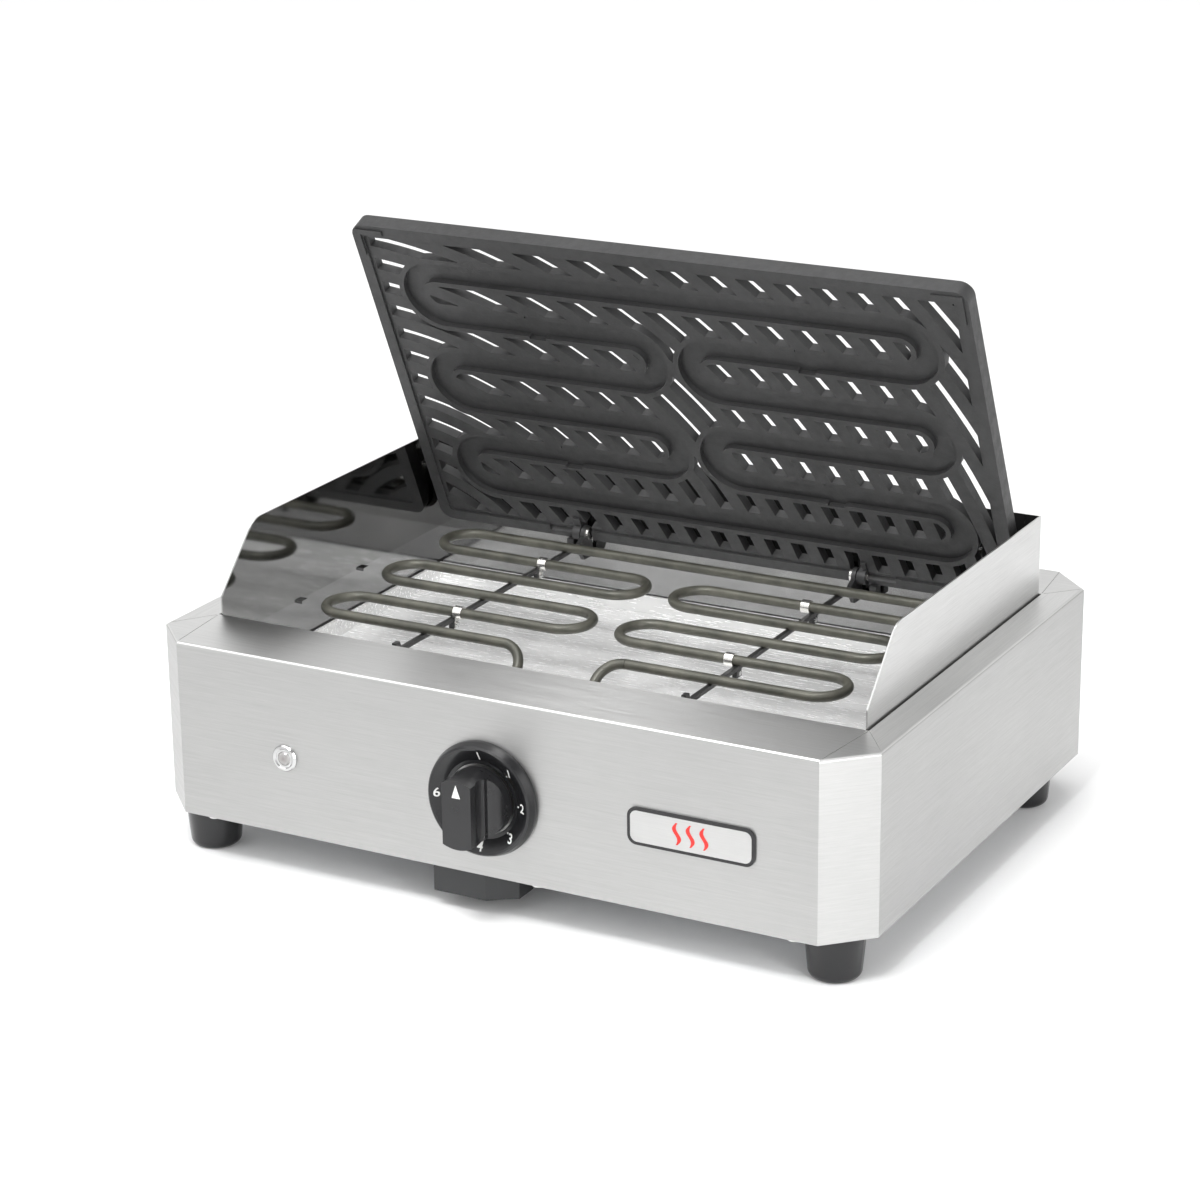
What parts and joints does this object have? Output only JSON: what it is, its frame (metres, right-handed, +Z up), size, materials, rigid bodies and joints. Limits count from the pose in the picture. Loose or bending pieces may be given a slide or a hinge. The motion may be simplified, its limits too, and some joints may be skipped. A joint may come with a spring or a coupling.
{
  "type": "electric table grill",
  "caption": "Tabletop electric grill: folded steel housing with an open well, serpentine element, lift-off splash guard and hinged cast-iron grate.",
  "frame": {"origin": "under the middle of the whole object, on the surface that the feet stand on", "axes": "+X to the right along the front panel, +Y from the front to the rear, +Z up; the control knob faces -Y"},
  "size_m": [0.5, 0.413, 0.3776],
  "materials": {
    "housing_steel": "satin, fine grain along the panels",
    "galvanised_steel": "dull zinc plating",
    "well_steel": "bright, lightly polished",
    "tray_steel": "bright satin",
    "guard_steel": "bright, fine upright grain",
    "grate_iron": "matt enamelled casting",
    "bar_iron": "heat-resistant black",
    "element_sheath": "dark, heat-tinted satin",
    "clip_steel": "bright spring steel",
    "fastener_steel": "bright zinc",
    "gland_brass": "plain turned",
    "terminal_ceramic": "glazed",
    "knob_plastic": "semi-gloss moulded black",
    "dial_plastic": "gloss black with white print",
    "regulator_plastic": "moulded cream thermoset",
    "pilot_chrome": "polished",
    "pilot_glass": "clear over a milky diffuser",
    "pilot_nylon": "moulded grey nylon",
    "badge_enamel": "printed plate",
    "foot_plastic": "gloss black moulding",
    "box_plastic": "moulded black, fine texture",
    "wire_insulation": "silicone insulation"
  },
  "bodies": {
    "root": {"housing_shell": "housing_steel", "base_plate": "galvanised_steel", "base_screws": "fastener_steel", "well_pan": "well_steel", "drip_tray": "tray_steel", "guard_rests": "well_steel", "hinge_pins": "clip_steel", "support_bar_left": "bar_iron", "support_bar_right": "bar_iron", "heating_element": "element_sheath", "element_clips": "clip_steel", "clip_rivets": "fastener_steel", "element_glands": "fastener_steel", "gland_nuts": "gland_brass", "element_terminals": "terminal_ceramic", "regulator_body": "regulator_plastic", "regulator_screws": "fastener_steel", "dial_bezel": "dial_plastic", "pilot_bezel": "pilot_chrome", "pilot_lens": "pilot_glass", "pilot_nut": "pilot_nylon", "pilot_body": "pilot_nylon", "badge_plate": "badge_enamel", "feet": "foot_plastic", "foot_screws": "fastener_steel", "foot_nuts": "fastener_steel", "cable_box": "box_plastic", "cable_box_screws": "fastener_steel", "cable_clamp": "box_plastic", "clamp_screws": "fastener_steel", "terminal_block": "regulator_plastic", "terminal_screws": "gland_brass", "earth_stud": "fastener_steel", "earth_nut": "fastener_steel", "wiring": "wire_insulation"},
    "grate": {"cast_grate": "grate_iron"},
    "knob": {"control_knob": "knob_plastic", "regulator_shaft": "gland_brass"},
    "guard": {"splash_guard": "guard_steel"}
  },
  "joints": [
    {"name": "grate_hinge", "type": "hinge", "parent": "root", "child": "grate", "pos_m": [0, 0.145, 0.14435], "axis": [-1, 0, 0], "range_deg": [-65, 0]},
    {"name": "knob_turn", "type": "hinge", "parent": "root", "child": "knob", "pos_m": [0, -0.19, 0.0826], "axis": [0, 1, 0], "range_deg": [0, 270]},
    {"name": "guard_lift", "type": "slide", "parent": "root", "child": "guard", "axis": [0, 0, 1], "range_m": [0, 0.1]}
  ]
}
